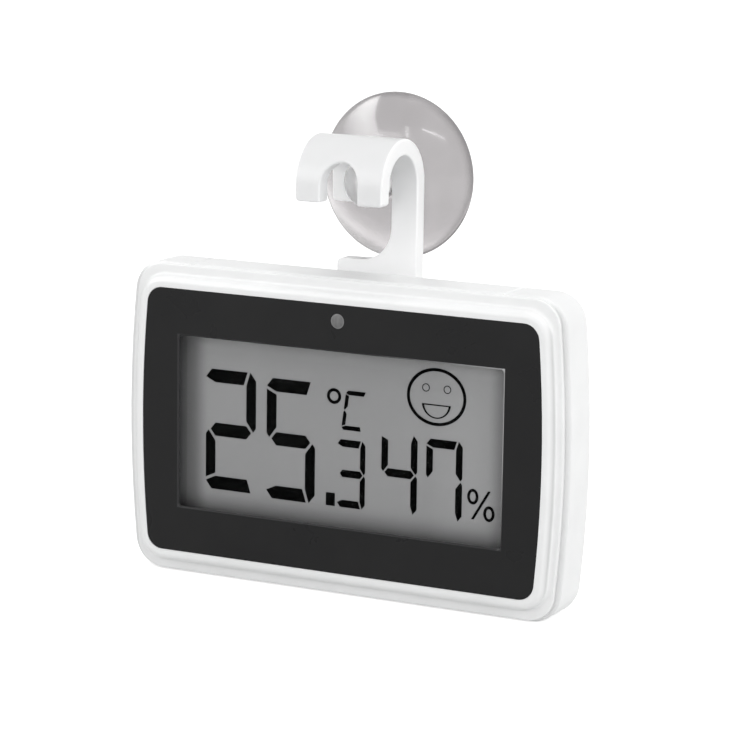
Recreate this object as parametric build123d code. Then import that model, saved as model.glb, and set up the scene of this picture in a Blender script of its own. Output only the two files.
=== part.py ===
from build123d import *
import os

# Room temperature and humidity sensor with a display, an alarm lamp and a clip-on hanger with a suction cup.
# Lengths are in millimetres. +X is to the viewer's right, +Y to the back and +Z up.
# The origin is the middle of the flat underside that the sensor can stand on.
# Inside the file, depth counts back from the front face and height counts up from the middle of the casing.

# Casing
case_width = 100.0
case_height = 65.0
case_corner_radius = 6.5
end_bow_radius = 270.0
wall = 1.9
overrun = 1.0
loop_tolerance = 0.015
front_step_side = 1.2
front_step_top = 0.3
rim_round = 0.6
back_bevel_length = 6.6
back_bevel_inset = 3.8
back_bevel_round = 3.0
back_edge_round = 1.5
groove_inset = 14.7
groove_width = 1.0
groove_deep = 0.5

# Stepped front frame around the dark panel
shoulder_side = 1.4
shoulder_top = 2.35
shoulder_thickness = 0.8
shoulder_round = 0.3
frame_land = 2.3
frame_round = 1.3
frame_cove = 0.7
panel_corner_radius = 3.4
panel_thickness = 1.5
panel_gap = 0.05
panel_edge_round = 0.12
lip_length = 2.6
lip_thickness = 1.2
fit_gap = 0.15
close_gap = 0.04

# Display window
window_side_margin = 8.5
window_top_margin = 9.6
window_corner_radius = 0.8
window_lip = 0.5
window_edge_bevel = 0.3
pane_margin = 1.9
pane_gap = 0.1
pane_ledge = 0.3
glass_stand_back = 1.4

# Liquid crystal display, from the front glass back
glass_side_overlap = 2.4
glass_bottom_overlap = 1.45
glass_top_overlap = 2.95
glass_step = 1.8
glass_thickness = 1.1
cell_gap = 0.06
mark_thickness = 0.05
reflector_thickness = 0.14
reflector_margin = 0.5
connector_inset = 5.0
connector_width = 1.5
holder_depth = 4.1
holder_wall = 0.9
holder_gap = 0.1
holder_lip_depth = 2.2
holder_tub_gap = 0.25

# Alarm lamp
lamp_radius = 1.5
lamp_hole_gap = 0.04
lamp_sink = 0.1
lamp_dome_rise = 0.25
lamp_body_length = 3.9
lamp_flange_radius = 1.9
lamp_flange_thickness = 1.0
lamp_holder_gap = 0.4
lead_thickness = 0.5
lead_pitch = 1.27
lead_stub = 0.9

# Circuit board
board_thickness = 1.2
board_edge_gap = 2.0
board_side_gap = 3.7
board_boss_gap = 0.9
board_tub_gap = 0.5
board_hole_radius = 1.1

# Posts and screws
boss_side_inset = 8.0
boss_top_inset = 7.7
boss_radius = 2.75
boss_length = 6.1
tower_radius = 3.1
tower_floor = 2.0
case_screw_radius = 0.95
case_screw_tip_gap = 1.1
case_screw_head_radius = 1.9
case_screw_head_thickness = 1.3
head_gap = 0.25
board_screw_radius = 0.75
board_screw_head_radius = 1.5
board_screw_head_thickness = 0.9
cross_width = 0.5
cross_depth = 0.6
cross_reach_share = 0.62
post_radius = 1.8
upper_post_boss_distance = 9.0
upper_post_gap = 1.7
lower_post_gap = 0.4
lower_post_rise = 3.7

# Battery and its compartment
cell_radius = 5.25
cell_length = 43.3
cell_cap_radius = 1.9
cell_cap_length = 1.2
cell_bottom_inset = 11.9
cell_door_gap = 0.15
cell_edge_round = 0.4
sleeve_thickness = 0.1
tub_gap = 0.2
tub_wall = 0.9
tub_front_gap = 0.75
tub_end_wall = 1.2
contact_thickness = 0.35
contact_half_width = 4.2
contact_leaf_reach = 2.34
contact_leaf_rise = 3.4
contact_leaf_width = 4.0
contact_dimple_radius = 1.5
contact_dimple_reach = 0.7
tab_half_width = 1.1
tab_slot_gap = 0.3
tab_rise = 8.0

# Battery door
door_thickness = 1.4
door_ledge = 0.8
door_side_ledge = 1.0
door_gap = 0.15
door_latch_half_width = 5.0
door_latch_rise = 1.6
door_grip_count = 4
door_grip_pitch = 1.1
door_grip_width = 0.4
door_grip_depth = 0.35
door_tab_x = 17.0
door_tab_half_width = 3.0
door_tab_thickness = 1.1
door_tab_root = 0.6
door_tab_reach = 1.2
door_tab_gap = 0.2
door_tab_clear = 1.1

# Push buttons and the selector
control_inset = 19.0
button_top_inset = 15.0
button_pitch = 10.5
button_count = 3
button_radius = 3.2
button_gap = 0.15
button_stand_out = 0.7
button_travel = 0.5
button_flange = 0.8
button_flange_thickness = 0.8
button_round = 0.4
button_dish_radius = 9.0
button_dish_depth = 0.25
plunger_radius = 1.75
plunger_gap = 0.06
plunger_depth = 1.0
switch_size = 6.0
switch_height = 3.6
selector_top_inset = 16.5
selector_travel = 2.5
selector_body_length = 9.5
selector_body_width = 4.2
selector_body_depth = 3.4
selector_stem_length = 2.6
selector_stem_width = 1.8
selector_gap = 0.15
selector_knob_length = 3.4
selector_knob_width = 2.4
selector_stand_out = 0.6

# Air slots and what the board carries
slot_count = 5
slot_length = 11.0
slot_width = 1.3
slot_pitch = 2.7
slot_drop = 19.0
sensor_size = 3.0
sensor_thickness = 1.1
sensor_port_radius = 0.6
sensor_port_depth = 0.3
chip_radius = 5.2
chip_rise = 1.3
chip_x = 2.0
chip_bottom_margin = 7.0
crystal_radius = 1.0
crystal_length = 6.0
crystal_chip_gap = 6.3
crystal_drop = 5.0
passive_length = 2.0
passive_width = 1.25
passive_thickness = 0.6
passive_pitch = 3.4
passive_count = 6
passive_chip_gap = 6.3

# Hanger
hanger_half_width = 9.7
hanger_thickness = 3.3
hanger_back_inset = 0.05
hanger_rise = 18.25
arch_outer_radius = 9.65
front_leg_drop = 3.05
tab_drop = 4.75
hanger_corner_round = 0.9
hanger_edge_round = 0.4
notch_radius = 3.95
front_notch_radius = 4.15
front_notch_rise = 0.83
front_notch_round = 0.4
plate_step = 1.4
plate_rise = 1.9
plate_height = 19.9
plate_corner_round = 1.2
flare_radius = 7.0
tongue_thickness = 1.4
tongue_width = 1.3
tongue_inset = 4.5
channel_gap = 0.12
channel_floor = 1.2
channel_side = 1.5

# Suction cup
cup_rim_radius = 17.1
cup_stand_out = 7.5
cup_rim_thickness = 0.7
cup_shoulder_radius = 6.0
cup_clearance = 0.3
cup_centre_thickness = 2.3
cup_flat_radius = 3.0
cup_bulge_share = 0.2
cup_hollow_reach_share = 0.72
cup_hollow_rise_share = 0.3
neck_gap = 0.07
head_radius = 5.1
head_thickness = 2.2
head_taper = 1.3
neck_bare_length = 1.5
head_round = 0.7

# Display marks, placed from the window's middle
# Places and widths are shares of the window's width. Heights, strokes and radii are shares of its height.
# A figure has its left edge, bottom, width, height, level stroke, upright stroke, lean and lit strokes
figure_shares = [
    (-0.442, -0.4005, 0.1605, 0.7035, 0.077, 0.0625, 0, "abged"),
    (-0.2467, -0.4115, 0.1535, 0.7, 0.0765, 0.0625, 0, "afgcd"),
    (-0.0225, -0.4085, 0.086, 0.391, 0.042, 0.032, 0, "abgcd"),
    (0.1135, -0.3985, 0.1095, 0.449, 0.047, 0.04, 0, "fgbc"),
    (0.2502, -0.404, 0.109, 0.4515, 0.0485, 0.0402, 0, "fabc"),
    (-0.0123, 0.038, 0.0655, 0.227, 0.025, 0.0215, 0.13, "afed"),
]
corner_cut_share = 0.6
corner_drop_share = 0.62
split_share = 0.24
waist_share = 0.38
tip_share = 0.28
tip_rise_share = 0.08
open_rise_share = 0.4
free_end_share = 0.38
point_place_shares = (-0.0435, -0.371)
point_size_shares = (0.028, 0.075)
ring_place_shares = (-0.0355, 0.225)
ring_radius_share = 0.045
ring_stroke_share = 0.018
percent_place_shares = (0.4165, -0.295)
percent_half_width_share = 0.0245
percent_rise_share = 0.084
percent_ring_size_shares = (0.0168, 0.0442)
percent_ring_drop_share = 0.0436
percent_stroke_share = 0.0165
face_place_shares = (0.2775, 0.285)
face_size_shares = (0.0895, 0.163)
face_stroke_share = 0.018
eye_place_shares = (0.0322, 0.048)
eye_radius_share = 0.023
eye_line_share = 0.0045
mouth_drop_share = 0.042
mouth_size_shares = (0.0437, 0.08)
mouth_line_share = 0.007

# Sizes that follow from the ones above, from the front back
half_width = case_width / 2
half_height = case_height / 2
front_width = case_width - 2 * front_step_side
front_height = case_height - 2 * front_step_top
front_corner_radius = case_corner_radius - (front_step_side + front_step_top) / 2
frame_width = front_width - 2 * shoulder_side
frame_height = front_height - 2 * shoulder_top
frame_corner_radius = panel_corner_radius + frame_land
panel_width = frame_width - 2 * frame_land
panel_height = frame_height - 2 * frame_land
window_width = panel_width - 2 * window_side_margin
window_height = panel_height - 2 * window_top_margin
parting_depth = panel_thickness + glass_stand_back
shoulder_depth = parting_depth - shoulder_thickness
glass_width = window_width + 2 * glass_side_overlap
front_glass_bottom = -window_height / 2 - glass_bottom_overlap
front_glass_top = window_height / 2 + glass_top_overlap
rear_glass_top = front_glass_top - glass_step
front_glass_front = parting_depth
marks_front = front_glass_front + glass_thickness
rear_glass_front = marks_front + cell_gap
reflector_front = rear_glass_front + glass_thickness
reflector_back = reflector_front + reflector_thickness
connector_height = (rear_glass_top + front_glass_top) / 2
holder_half_width = glass_width / 2 + holder_gap + holder_wall
holder_top = front_glass_top + holder_gap + holder_wall
holder_lip_back = parting_depth + holder_lip_depth
lamp_height = holder_top + lamp_holder_gap + lamp_flange_radius
lamp_flange_front = lamp_sink + lamp_body_length
board_front = parting_depth + holder_depth
board_back = board_front + board_thickness

# Battery compartment, which sets how deep the casing is
tub_radius = cell_radius + tub_gap
tub_outer_radius = tub_radius + tub_wall
cell_depth = holder_lip_back + tub_front_gap + tub_outer_radius
cell_height = cell_bottom_inset - half_height
door_front = cell_depth + cell_radius + cell_door_gap
case_depth = door_front + door_thickness
inner_back = case_depth - wall
contacts_length = contact_dimple_reach + contact_leaf_reach + 2 * contact_thickness + 4 * close_gap
tub_half_length = (cell_length + cell_cap_length + contacts_length) / 2
contact_face = tub_half_length - close_gap - contact_thickness
cell_right = contact_face - contact_dimple_reach - close_gap - cell_cap_length
cell_left = cell_right - cell_length
door_half_length = tub_half_length + door_side_ledge
door_top = cell_height + tub_radius + door_ledge
door_bottom = cell_height - tub_radius - door_ledge
door_tab_front = inner_back - close_gap - door_tab_thickness
holder_side_bottom = cell_height + tub_outer_radius + holder_tub_gap

# Bosses, posts and the board's outline between them
boss_x = half_width - boss_side_inset
boss_height = half_height - boss_top_inset
boss_end = parting_depth + boss_length
board_top = half_height - wall - board_edge_gap
board_top_half_width = boss_x - tower_radius - board_boss_gap
board_half_width = half_width - wall - board_side_gap
board_step_height = boss_height - tower_radius - board_boss_gap
board_bottom = cell_height + (tub_outer_radius ** 2 - (cell_depth - board_back) ** 2) ** 0.5 + board_tub_gap
upper_post_x = boss_x - upper_post_boss_distance
upper_post_height = holder_top + upper_post_gap + post_radius
lower_post_x = holder_half_width + lower_post_gap + post_radius
lower_post_height = board_bottom + lower_post_rise
boss_places = [(sx * boss_x, sz * boss_height) for sx in (-1, 1) for sz in (-1, 1)]
post_places = [(sx * upper_post_x, upper_post_height) for sx in (-1, 1)]
post_places += [(sx * lower_post_x, lower_post_height) for sx in (-1, 1)]

# Controls, air slots and the board's small parts
button_x = control_inset - half_width
selector_x = half_width - control_inset
slot_x = selector_x
button_heights = [half_height - button_top_inset - i * button_pitch for i in range(button_count)]
selector_height = half_height - selector_top_inset
slot_middle_height = selector_height - slot_drop
slot_heights = [slot_middle_height + (i - (slot_count - 1) / 2) * slot_pitch for i in range(slot_count)]
switch_back = board_back + switch_height
button_flange_back = inner_back - close_gap
button_flange_front = button_flange_back - button_flange_thickness
chip_height = board_bottom + chip_bottom_margin + chip_radius
crystal_right = chip_x - chip_radius - crystal_chip_gap
crystal_height = chip_height - crystal_drop
passive_height = chip_height + chip_radius + passive_chip_gap + passive_length / 2

# Hanger and suction cup
leg_back = case_depth - hanger_back_inset
leg_front = leg_back - hanger_thickness
arch_depth = leg_back - arch_outer_radius
arch_height = half_height + hanger_rise
hanger_front_bottom = arch_height - front_leg_drop
hanger_tab_bottom = arch_height - tab_drop
front_notch_height = arch_height + front_notch_rise
plate_left = plate_step - hanger_half_width
plate_right = hanger_half_width
plate_top = half_height + plate_rise
plate_bottom = plate_top - plate_height
tongue_back = leg_front + tongue_thickness
tongue_top = half_height - tongue_inset
channel_front = leg_front - channel_gap
cup_rim_depth = case_depth + cup_stand_out


# Helpers: everything is drawn in front view and pushed through from one depth to another
def front_plane(depth):
    return Plane(origin=(0, depth - case_depth / 2, half_height), x_dir=(1, 0, 0), z_dir=(0, -1, 0))


def side_plane(x):
    return Plane(origin=(x, -case_depth / 2, half_height), x_dir=(0, 1, 0), z_dir=(1, 0, 0))


def slab(outline, front, back):
    return extrude(front_plane(back) * outline, amount=back - front)


def rect(left, right, bottom, top):
    return Pos((left + right) / 2, (bottom + top) / 2) * Rectangle(right - left, top - bottom)


def block(left, right, bottom, top, front, back):
    return slab(rect(left, right, bottom, top), front, back)


def disc(x, height, radius, front, back):
    return slab(Pos(x, height) * Circle(radius), front, back)


def bar(left, right, depth, height, radius):
    return extrude(side_plane(left) * (Pos(depth, height) * Circle(radius)), amount=right - left)


def bowed(width, height, corner):
    side = width / 2
    top = height / 2
    bow = top ** 2 / (2 * end_bow_radius)
    sides = [
        Line((bow - side, top), (side - bow, top)),
        ThreePointArc((side - bow, top), (side, 0), (side - bow, -top)),
        Line((side - bow, -top), (bow - side, -top)),
        ThreePointArc((bow - side, -top), (-side, 0), (bow - side, top)),
    ]
    face = make_face(sides)
    return fillet(face.vertices(), corner)


def loop_at(body, depth):
    plane_y = depth - case_depth / 2
    return body.edges().filter_by_position(Axis.Y, plane_y - loop_tolerance, plane_y + loop_tolerance)


def save(shape, name):
    export_step(shape, os.path.join("parts", name + ".step"))


def group(pieces):
    return Compound(children=list(pieces))


# Outer form of the back shell, which the door shares
def outer_body():
    body = slab(bowed(case_width, case_height, case_corner_radius), parting_depth, case_depth)
    body = fillet(loop_at(body, parting_depth), rim_round)
    back_face = body.faces().sort_by(Axis.Y)[-1]
    body = chamfer(back_face.edges(), back_bevel_inset, back_bevel_length, reference=back_face)
    body = fillet(loop_at(body, case_depth - back_bevel_length), back_bevel_round)
    body = fillet(body.faces().sort_by(Axis.Y)[-1].edges(), back_edge_round)
    return body


def inner_body():
    width = case_width - 2 * wall
    height = case_height - 2 * wall
    body = slab(bowed(width, height, case_corner_radius - wall), parting_depth - overrun, inner_back)
    back_face = body.faces().sort_by(Axis.Y)[-1]
    inset = back_bevel_inset - wall / 2
    return chamfer(back_face.edges(), inset, back_bevel_length - wall, reference=back_face)


def grooves(front, back):
    cuts = []
    for middle in (groove_inset - half_width, half_width - groove_inset):
        for level in (-1, 1):
            edge = level * half_height
            points = [
                (middle - groove_width / 2, edge + level * overrun),
                (middle - groove_width / 2, edge),
                (middle, edge - level * groove_deep),
                (middle + groove_width / 2, edge),
                (middle + groove_width / 2, edge + level * overrun),
            ]
            cuts.append(slab(make_face(Polyline(*points, close=True)), front, back))
    return cuts


# Front shell: raised frame, shoulder, lip into the back shell, bosses and board posts
def front_shell():
    frame = slab(bowed(frame_width, frame_height, frame_corner_radius), 0, shoulder_depth)
    base = slab(bowed(front_width, front_height, front_corner_radius), shoulder_depth, parting_depth)
    base = fillet(loop_at(base, shoulder_depth), shoulder_round)
    shell = frame + base
    shell = fillet(loop_at(shell, 0), frame_round)
    foot = [e for e in loop_at(shell, shoulder_depth) if abs(e.center().X) < frame_width / 2 + fit_gap
            and abs(e.center().Z - half_height) < frame_height / 2 + fit_gap]
    shell = fillet(foot, frame_cove)
    lip_width = case_width - 2 * (wall + fit_gap)
    lip_height = case_height - 2 * (wall + fit_gap)
    lip_corner = case_corner_radius - wall - fit_gap
    lip = bowed(lip_width, lip_height, lip_corner)
    hole = bowed(lip_width - 2 * lip_thickness, lip_height - 2 * lip_thickness, lip_corner - lip_thickness)
    shell += slab(lip - hole, parting_depth, parting_depth + lip_length)
    for x, height in boss_places:
        shell += disc(x, height, boss_radius, parting_depth, boss_end)
        shell -= disc(x, height, case_screw_radius + close_gap, parting_depth + fit_gap, boss_end + overrun)
    for x, height in post_places:
        shell += disc(x, height, post_radius, parting_depth, board_front)
        shell -= disc(x, height, board_screw_radius + close_gap, parting_depth + fit_gap,
                      board_front + overrun)
    recess = bowed(panel_width + 2 * panel_gap, panel_height + 2 * panel_gap, panel_corner_radius)
    shell -= slab(recess, -overrun, panel_thickness)
    rim = 2 * (pane_margin - pane_ledge)
    opening = RectangleRounded(window_width + rim, window_height + rim, window_corner_radius)
    shell -= slab(opening, panel_thickness - overrun, parting_depth + overrun)
    shell -= disc(0, lamp_height, lamp_radius + lamp_hole_gap, 0, parting_depth + overrun)
    return shell


def back_shell(outer, inner):
    shell = outer - inner
    # channel for the hanger's plate
    left = plate_left - channel_gap
    right = plate_right + channel_gap
    floor_height = plate_bottom - channel_gap
    casing = block(left - channel_side, right + channel_side, floor_height - channel_side, half_height,
                   channel_front - channel_floor, case_depth)
    shell += casing & outer
    shell -= block(left, right, floor_height, case_height, channel_front, tongue_back + channel_gap)
    shell -= block(left + tongue_width, right - tongue_width, floor_height, case_height,
                   tongue_back, case_depth + overrun)
    shell -= block(left, right, tongue_top - channel_gap, case_height, channel_front, case_depth + overrun)
    # screw towers
    for x, height in boss_places:
        shell += disc(x, height, tower_radius, boss_end, case_depth) & outer
        shell -= disc(x, height, case_screw_radius + head_gap, boss_end - overrun, case_depth)
        shell -= disc(x, height, case_screw_head_radius + head_gap, boss_end + tower_floor,
                      case_depth + overrun)
    # battery tub
    tub_end = tub_half_length + tub_end_wall
    tub = bar(-tub_end, tub_end, cell_depth, cell_height, tub_outer_radius)
    tub += block(-tub_end, tub_end, cell_height - tub_outer_radius, cell_height + tub_outer_radius,
                 cell_depth, door_front + overrun)
    shell += tub & outer
    shell -= bar(-tub_half_length, tub_half_length, cell_depth, cell_height, tub_radius)
    shell -= block(-tub_half_length, tub_half_length, cell_height - tub_radius, cell_height + tub_radius,
                   cell_depth, case_depth + overrun)
    # rebate for the door, with its latch notch and the slots for its tabs
    shell -= block(-door_half_length - door_gap, door_half_length + door_gap, door_bottom - door_gap,
                   door_top + door_gap, door_front, case_depth + overrun)
    latch = door_latch_half_width + door_gap
    shell -= block(-latch, latch, door_top, door_top + door_latch_rise + door_gap,
                   door_front, case_depth + overrun)
    for side in (-1, 1):
        middle = side * door_tab_x
        half = door_tab_half_width + door_tab_gap
        shell -= block(middle - half, middle + half, door_bottom - door_tab_reach - door_tab_gap,
                       cell_height, door_tab_front - door_tab_clear, inner_back)
        shell -= block(middle - half, middle + half, door_bottom - door_gap,
                       cell_height, door_tab_front, case_depth)
        slot_half = tab_half_width + tab_slot_gap
        slot_x_mid = side * (tub_half_length - slot_half)
        shell -= block(slot_x_mid - slot_half, slot_x_mid + slot_half, cell_height,
                       cell_height + tub_outer_radius + overrun, board_back, cell_depth)
    # buttons, selector and air slots
    for height in button_heights:
        shell -= disc(button_x, height, button_radius + button_gap, inner_back - overrun,
                      case_depth + overrun)
    reach_x = selector_knob_width / 2 + selector_gap
    reach_z = selector_knob_length / 2 + selector_gap
    shell -= block(selector_x - reach_x, selector_x + reach_x, selector_height - reach_z,
                   selector_height + reach_z + selector_travel, inner_back - overrun, case_depth + overrun)
    for height in slot_heights:
        slot = Pos(slot_x, height) * SlotOverall(slot_length, slot_width)
        shell -= slab(slot, inner_back - overrun, case_depth + overrun)
    for cut in grooves(parting_depth, case_depth):
        shell -= cut
    return shell


# Dark printed panel, set flush in the front frame, with a rebate behind its window's lip for the pane
def front_panel():
    panel = slab(bowed(panel_width, panel_height, panel_corner_radius), 0, panel_thickness)
    panel = fillet(loop_at(panel, 0), panel_edge_round)
    window = RectangleRounded(window_width, window_height, window_corner_radius)
    panel -= slab(window, -overrun, panel_thickness + overrun)
    edge = [e for e in loop_at(panel, 0) if abs(e.center().X) < window_width / 2 + close_gap
            and abs(e.center().Z - half_height) < window_height / 2 + close_gap]
    panel = chamfer(edge, window_edge_bevel)
    rim = 2 * (pane_margin + pane_gap)
    panel -= slab(Rectangle(window_width + rim, window_height + rim), window_lip, panel_thickness + overrun)
    panel -= disc(0, lamp_height, lamp_radius + lamp_hole_gap, -overrun, panel_thickness + overrun)
    return panel


def window_pane():
    return slab(RectangleRounded(window_width + 2 * pane_margin, window_height + 2 * pane_margin,
                                 window_corner_radius), window_lip, panel_thickness)


# Display parts
def front_glass():
    half = glass_width / 2
    return block(-half, half, front_glass_bottom, front_glass_top, front_glass_front, marks_front)


def rear_glass():
    half = glass_width / 2
    return block(-half, half, front_glass_bottom, rear_glass_top, rear_glass_front, reflector_front)


def reflector():
    half = glass_width / 2 - reflector_margin
    return block(-half, half, front_glass_bottom + reflector_margin, rear_glass_top - reflector_margin,
                 reflector_front, reflector_back)


def connector():
    half = glass_width / 2 - connector_inset
    return block(-half, half, connector_height - connector_width / 2, connector_height + connector_width / 2,
                 marks_front, board_front)


def display_holder():
    half = holder_half_width
    bottom = front_glass_bottom - holder_gap
    ring = block(-half, half, bottom - holder_wall, holder_top, parting_depth, holder_lip_back)
    ring += block(-half, half, holder_side_bottom, holder_top, holder_lip_back, board_front)
    return ring - block(holder_wall - half, half - holder_wall, bottom, holder_top - holder_wall,
                        parting_depth - overrun, board_front + overrun)


# Segment outlines of a seven-segment digit whose lower left corner is at (0, 0)
# The lower half mirrors the upper one: the level strokes hold the left corners, the uprights the right ones
# A level stroke that no upright meets at its right end runs on a little
def digit_segments(width, height, bar_stroke, post_stroke, lean, lit):
    cut = corner_cut_share * post_stroke
    drop = corner_drop_share * bar_stroke
    split = split_share * bar_stroke
    waist = bar_stroke / 2 + waist_share * bar_stroke
    tip = tip_share * post_stroke
    tip_rise = tip_rise_share * bar_stroke
    open_rise = 0 if "a" in lit else open_rise_share * bar_stroke
    free_end = free_end_share * post_stroke
    upper_end = 0 if "b" in lit else free_end
    lower_end = 0 if "c" in lit else free_end
    middle = height / 2
    half = bar_stroke / 2
    right = width - post_stroke
    outlines = {
        "a": [(0, height - drop), (cut, height), (width - cut - split + upper_end, height),
              (right - split + upper_end, height - bar_stroke), (post_stroke, height - bar_stroke)],
        "d": [(0, drop), (cut, 0), (width - cut - split + lower_end, 0),
              (right - split + lower_end, bar_stroke), (post_stroke, bar_stroke)],
        "b": [(width - cut, height), (width, height - drop), (width, middle + waist - half),
              (width - tip, middle + tip_rise), (right, middle + waist), (right, height - bar_stroke)],
        "f": [(0, height - drop - split + open_rise), (post_stroke, height - bar_stroke - split + open_rise),
              (post_stroke, middle + waist), (tip, middle + tip_rise), (0, middle + waist - half)],
        "g": [(post_stroke / 2, middle), (post_stroke, middle + half), (right, middle + half),
              (width - post_stroke / 2, middle), (right, middle - half), (post_stroke, middle - half)],
    }
    for upper, lower in (("b", "c"), ("f", "e")):
        outlines[lower] = [(x, height - y) for x, y in outlines[upper]]
    leaning = [[(x + lean * y, y) for x, y in outlines[name]] for name in lit]
    return [make_face(Polyline(*outline, close=True)) for outline in leaning]


# A place on the display, from shares of the window's width and height
def on_window(place_shares):
    across, up = place_shares
    return Pos(across * window_width, up * window_height)


# Everything that the display shows, as thin dark pieces between the two glasses
def display_marks():
    marks = []
    for left, bottom, width, height, bar_stroke, post_stroke, lean, lit in figure_shares:
        outlines = digit_segments(width * window_width, height * window_height, bar_stroke * window_height,
                                  post_stroke * window_height, lean, lit)
        marks += [on_window((left, bottom)) * outline for outline in outlines]
    point = Rectangle(point_size_shares[0] * window_width, point_size_shares[1] * window_height)
    marks.append(on_window(point_place_shares) * point)
    ring_radius = ring_radius_share * window_height
    ring = Circle(ring_radius) - Circle(ring_radius - ring_stroke_share * window_height)
    marks.append(on_window(ring_place_shares) * ring)
    marks += percent_sign() + smiling_face()
    slabs = [slab(mark, marks_front, marks_front + mark_thickness) for mark in marks]
    return group(solid for thin in slabs for solid in thin.solids())


def oval_ring(reach_x, reach_y, stroke):
    return Ellipse(reach_x, reach_y) - Ellipse(reach_x - stroke, reach_y - stroke)


def percent_sign():
    half = percent_half_width_share * window_width
    rise = percent_rise_share * window_height
    drop = percent_ring_drop_share * window_height
    stroke = percent_stroke_share * window_height
    ring_width, ring_height = percent_ring_size_shares
    ring = oval_ring(ring_width * window_width, ring_height * window_height, stroke)
    reach = stroke / 2
    slash = [(half - reach, rise), (half + reach, rise), (reach - half, -rise), (-half - reach, -rise)]
    shapes = [Pos(-half, drop) * ring, Pos(half, -drop) * ring, make_face(Polyline(*slash, close=True))]
    return [on_window(percent_place_shares) * shape for shape in shapes]


def smiling_face():
    reach_x, reach_y = face_size_shares
    eye_x, eye_y = eye_place_shares
    eye_radius = eye_radius_share * window_height
    eye = Circle(eye_radius) - Circle(eye_radius - eye_line_share * window_height)
    shapes = [oval_ring(reach_x * window_width, reach_y * window_height, face_stroke_share * window_height)]
    shapes += [Pos(side * eye_x * window_width, eye_y * window_height) * eye for side in (-1, 1)]
    shapes.append(Pos(0, -mouth_drop_share * window_height) * mouth())
    return [on_window(face_place_shares) * shape for shape in shapes]


def half_moon(reach, depth, drop):
    chord = Line((-reach, -drop), (reach, -drop))
    smile = ThreePointArc((reach, -drop), (0, -depth), (-reach, -drop))
    return make_face([chord, smile])


def mouth():
    reach = mouth_size_shares[0] * window_width
    depth = mouth_size_shares[1] * window_height
    line = mouth_line_share * window_height
    return half_moon(reach, depth, 0) - half_moon(reach - 2 * line, depth - line, line)


# Alarm lamp with its shallow dome and its collar
def lamp():
    ball_radius = (lamp_radius ** 2 + lamp_dome_rise ** 2) / (2 * lamp_dome_rise)
    crown = lamp_sink - lamp_dome_rise
    middle = lamp_radius / 2
    middle_depth = crown + ball_radius - (ball_radius ** 2 - middle ** 2) ** 0.5
    flange_back = lamp_flange_front + lamp_flange_thickness
    profile = make_face([
        Polyline((0, crown), (0, flange_back), (lamp_flange_radius, flange_back),
                 (lamp_flange_radius, lamp_flange_front), (lamp_radius, lamp_flange_front),
                 (lamp_radius, lamp_sink)),
        ThreePointArc((lamp_radius, lamp_sink), (middle, middle_depth), (0, crown)),
    ])
    return Pos(0, -case_depth / 2, lamp_height + half_height) * revolve(profile, Axis.Y)


# Two leads from the lamp through the board
def lamp_leads():
    half = lead_thickness / 2
    start = lamp_flange_front + lamp_flange_thickness
    end = board_back + lead_stub
    return group(block(x - half, x + half, lamp_height - half, lamp_height + half, start, end)
                 for x in (-lead_pitch, lead_pitch))


def circuit_board():
    outline = rect(-board_top_half_width, board_top_half_width, board_bottom, board_top)
    outline += rect(-board_half_width, board_half_width, board_bottom, board_step_height)
    board = slab(outline, board_front, board_back)
    for x, height in post_places:
        board -= disc(x, height, board_hole_radius, board_front - overrun, board_back + overrun)
    for x in (-lead_pitch, lead_pitch):
        board -= disc(x, lamp_height, lead_thickness, board_front - overrun, board_back + overrun)
    return board


def board_chip():
    ball_radius = (chip_radius ** 2 + chip_rise ** 2) / (2 * chip_rise)
    centre = Pos(chip_x, board_back + chip_rise - ball_radius - case_depth / 2, chip_height + half_height)
    cap = centre * Sphere(ball_radius)
    return cap & disc(chip_x, chip_height, 2 * chip_radius, board_back, board_back + 2 * chip_rise)


def crystal():
    return bar(crystal_right - crystal_length, crystal_right, board_back + crystal_radius, crystal_height,
               crystal_radius)


def air_sensor():
    half = sensor_size / 2
    body = block(slot_x - half, slot_x + half, slot_middle_height - half, slot_middle_height + half,
                 board_back, board_back + sensor_thickness)
    top = board_back + sensor_thickness
    return body - disc(slot_x, slot_middle_height, sensor_port_radius, top - sensor_port_depth,
                       top + overrun)


def passives():
    places = [chip_x + (i - (passive_count - 1) / 2) * passive_pitch for i in range(passive_count)]
    half = passive_width / 2
    low = passive_height - passive_length / 2
    back = board_back + passive_thickness
    return group(block(x - half, x + half, low, low + passive_length, board_back, back) for x in places)


# Screws: a shank, a round head and a cross recess, with the tip towards the front
def screw(x, height, radius, length, head_radius, head_thickness, seat):
    body = disc(x, height, radius, seat - length, seat)
    body += disc(x, height, head_radius, seat, seat + head_thickness)
    top = seat + head_thickness
    for wide, tall in ((head_radius, cross_width / 2), (cross_width / 2, head_radius)):
        reach_x = min(wide, head_radius * cross_reach_share)
        reach_z = min(tall, head_radius * cross_reach_share)
        body -= block(x - reach_x, x + reach_x, height - reach_z, height + reach_z, top - cross_depth,
                      top + overrun)
    return body


def case_screws():
    length = boss_length + tower_floor - case_screw_tip_gap
    return group(screw(x, height, case_screw_radius, length, case_screw_head_radius,
                       case_screw_head_thickness, boss_end + tower_floor) for x, height in boss_places)


def board_screws():
    length = board_back - parting_depth - 2 * fit_gap
    return group(screw(x, height, board_screw_radius, length, board_screw_head_radius,
                       board_screw_head_thickness, board_back) for x, height in post_places)


# Battery
def battery_cell():
    radius = cell_radius - sleeve_thickness
    body = bar(cell_left, cell_right, cell_depth, cell_height, radius)
    body = fillet(body.edges().filter_by(GeomType.CIRCLE), cell_edge_round)
    return body + bar(cell_right, cell_right + cell_cap_length, cell_depth, cell_height, cell_cap_radius)


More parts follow.
